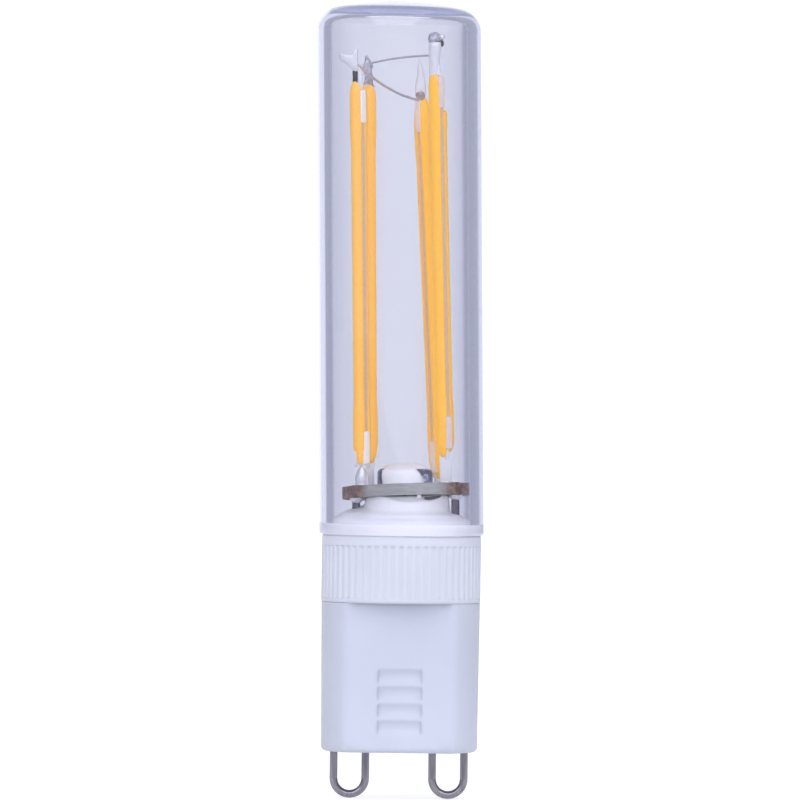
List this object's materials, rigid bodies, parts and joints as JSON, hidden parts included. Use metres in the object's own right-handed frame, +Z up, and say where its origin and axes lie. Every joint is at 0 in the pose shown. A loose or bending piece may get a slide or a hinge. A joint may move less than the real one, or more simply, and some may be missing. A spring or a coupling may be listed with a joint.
{
  "type": "led capsule bulb",
  "caption": "Clear glass capsule bulb with upright amber LED filaments on a round board, in a white ribbed base with looped wire pins.",
  "frame": {"origin": "centre of the base's flat bottom face, midway between the pins", "axes": "+Z up the bulb towards the glass dome, +X along the row of pins, front with the grip scoops towards -Y"},
  "size_m": [0.016, 0.0152, 0.0729],
  "materials": {
    "white_plastic": "satin moulded",
    "pin_wire": "drawn wire",
    "clear_glass": "polished",
    "silicone": "satin",
    "phosphor": "satin, translucent",
    "strip_ceramic": "matt",
    "tab_metal": "tin plated",
    "solder": "bright solder",
    "copper_wire": "tinned copper",
    "board_laminate": "glass fibre laminate",
    "can_metal": "dark gloss sleeve",
    "black_moulding": "moulded"
  },
  "bodies": {
    "root": {"base_housing": "white_plastic", "left_pin": "pin_wire", "right_pin": "pin_wire", "driver_board": "board_laminate", "bridge_rectifier": "black_moulding", "driver_chip": "black_moulding", "fuse_resistor": "black_moulding", "driver_solder": "solder", "storage_capacitor": "can_metal", "left_feed_lead": "pin_wire", "right_feed_lead": "pin_wire", "neck_adhesive": "silicone", "filament_board": "board_laminate", "lead_solder": "solder", "capacitor_adhesive": "silicone", "glass_envelope": "clear_glass", "front_left_substrate": "strip_ceramic", "front_left_inner_bead": "phosphor", "front_left_outer_bead": "phosphor", "front_left_top_tab": "tab_metal", "front_left_bottom_tab": "tab_metal", "front_right_substrate": "strip_ceramic", "front_right_inner_bead": "phosphor", "front_right_outer_bead": "phosphor", "front_right_top_tab": "tab_metal", "front_right_bottom_tab": "tab_metal", "back_left_substrate": "strip_ceramic", "back_left_inner_bead": "phosphor", "back_left_outer_bead": "phosphor", "back_left_top_tab": "tab_metal", "back_left_bottom_tab": "tab_metal", "back_right_substrate": "strip_ceramic", "back_right_inner_bead": "phosphor", "back_right_outer_bead": "phosphor", "back_right_top_tab": "tab_metal", "back_right_bottom_tab": "tab_metal", "tab_solder": "solder", "foot_solder": "solder", "upper_jumper": "copper_wire", "lower_jumper": "copper_wire"}
  },
  "joints": []
}
